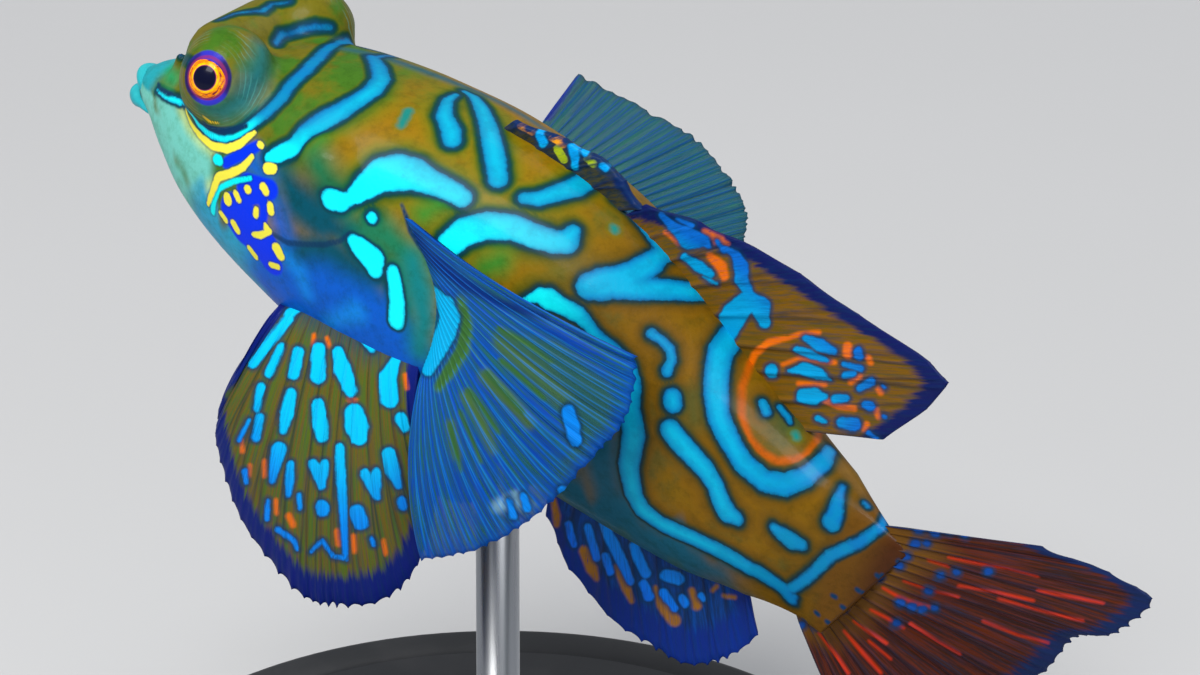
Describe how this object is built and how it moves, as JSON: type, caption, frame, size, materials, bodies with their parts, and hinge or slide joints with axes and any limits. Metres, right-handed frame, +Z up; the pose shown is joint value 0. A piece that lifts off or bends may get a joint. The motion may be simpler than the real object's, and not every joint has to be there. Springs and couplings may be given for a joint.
{
  "type": "mandarinfish model",
  "caption": "life-size model of a boldly patterned reef fish swimming nose up with its fins spread, held by one rod on a round base",
  "frame": {"origin": "centre of the stand's flat underside, below the point where the rod meets the belly", "axes": "+Z up; +X from the fish's snout towards its tail; the fish's left flank faces -Y"},
  "size_m": [0.066, 0.048, 0.0511],
  "materials": {
    "head": "satin, wet-looking varnish",
    "trunk": "satin, wet-looking varnish",
    "tail": "satin, wet-looking varnish",
    "lips": "satin, wet-looking varnish",
    "eye": "polished glass eye",
    "pectoral": "thin cast resin",
    "pelvic": "thin cast resin",
    "dorsal": "thin cast resin",
    "anal": "thin cast resin",
    "caudal": "thin cast resin",
    "base": "matt black",
    "rod": "brushed"
  },
  "bodies": {
    "root": {"head": "head", "trunk": "trunk", "tail": "tail", "eye_left": "eye", "eye_right": "eye", "lip_upper": "lips", "lip_lower": "lips", "pectoral_fin_left": "pectoral", "pectoral_fin_right": "pectoral", "pelvic_fin_left": "pelvic", "pelvic_fin_right": "pelvic", "dorsal_fin_first": "dorsal", "dorsal_fin_second": "dorsal", "anal_fin": "anal", "caudal_fin": "caudal", "stand_base": "base", "stand_rod": "rod"}
  },
  "joints": []
}
